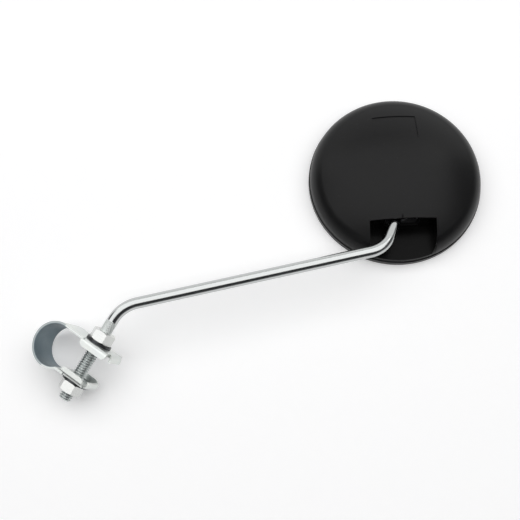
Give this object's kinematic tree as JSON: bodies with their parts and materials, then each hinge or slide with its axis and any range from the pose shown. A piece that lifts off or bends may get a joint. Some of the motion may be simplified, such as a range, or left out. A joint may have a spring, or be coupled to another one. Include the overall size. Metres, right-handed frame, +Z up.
{
  "type": "motorcycle mirror",
  "caption": "Round black rear-view mirror on a bent chromed stalk whose threaded foot is held between nuts in a sheet-metal strap clamp for a handlebar.",
  "frame": {"origin": "centre of the clamp bore that closes on the handlebar", "axes": "+Z up from the table the mirror lies on, +X along the stalk from the clamp towards the head as pictured, +Y away from the camera"},
  "size_m": [0.2758, 0.198, 0.0335],
  "materials": {
    "zinc_sheet": "bright zinc plate, slightly cloudy",
    "zinc_fastener": "bright zinc plate",
    "chromed_rod": "polished chrome, matt on the rolled thread and knurl",
    "bright_steel": "plain bright steel, lightly greased",
    "nylon": "natural nylon",
    "black_moulding": "satin black moulded plastic",
    "foam": "closed-cell foam sheet",
    "silvered_glass": "silvered float glass"
  },
  "bodies": {
    "clamp": {"clamp_strap": "zinc_sheet", "upper_washer": "zinc_fastener", "upper_nut": "zinc_fastener", "lower_washer": "zinc_fastener", "lower_nut": "zinc_fastener"},
    "stalk": {"stalk": "chromed_rod"},
    "ball": {"ball": "bright_steel"},
    "ball_seat": {"upper_seat": "nylon", "lower_seat": "nylon"},
    "head": {"housing": "black_moulding", "cup_plate": "bright_steel", "plate_screw_1": "bright_steel", "plate_screw_2": "bright_steel", "plate_screw_3": "bright_steel", "spring_washer_1": "bright_steel", "spring_washer_2": "bright_steel", "spring_washer_3": "bright_steel", "backing_pad": "foam", "mirror_glass": "silvered_glass", "rim_ring": "black_moulding"}
  },
  "joints": [
    {"name": "stalk_swivel", "type": "hinge", "parent": "clamp", "child": "stalk", "pos_m": [0.01525, -0.01112, 0.0035], "axis": [0.5284, 0.8073, 0.2628], "range_deg": [-90, 90]},
    {"name": "head_twist", "type": "hinge", "parent": "stalk", "child": "ball", "pos_m": [0.20508, 0.08891, -0.00049], "axis": [0.3245, 0.8819, -0.342], "range_deg": [-20, 20]},
    {"name": "head_tilt", "type": "hinge", "parent": "ball", "child": "ball_seat", "pos_m": [0.20508, 0.08891, -0.00049], "axis": [-0.9385, 0.3453, 0], "range_deg": [-2, 16]},
    {"name": "head_pan", "type": "hinge", "parent": "ball_seat", "child": "head", "pos_m": [0.20508, 0.08891, -0.00049], "axis": [0, 0, 1], "range_deg": [-48, 5]}
  ]
}
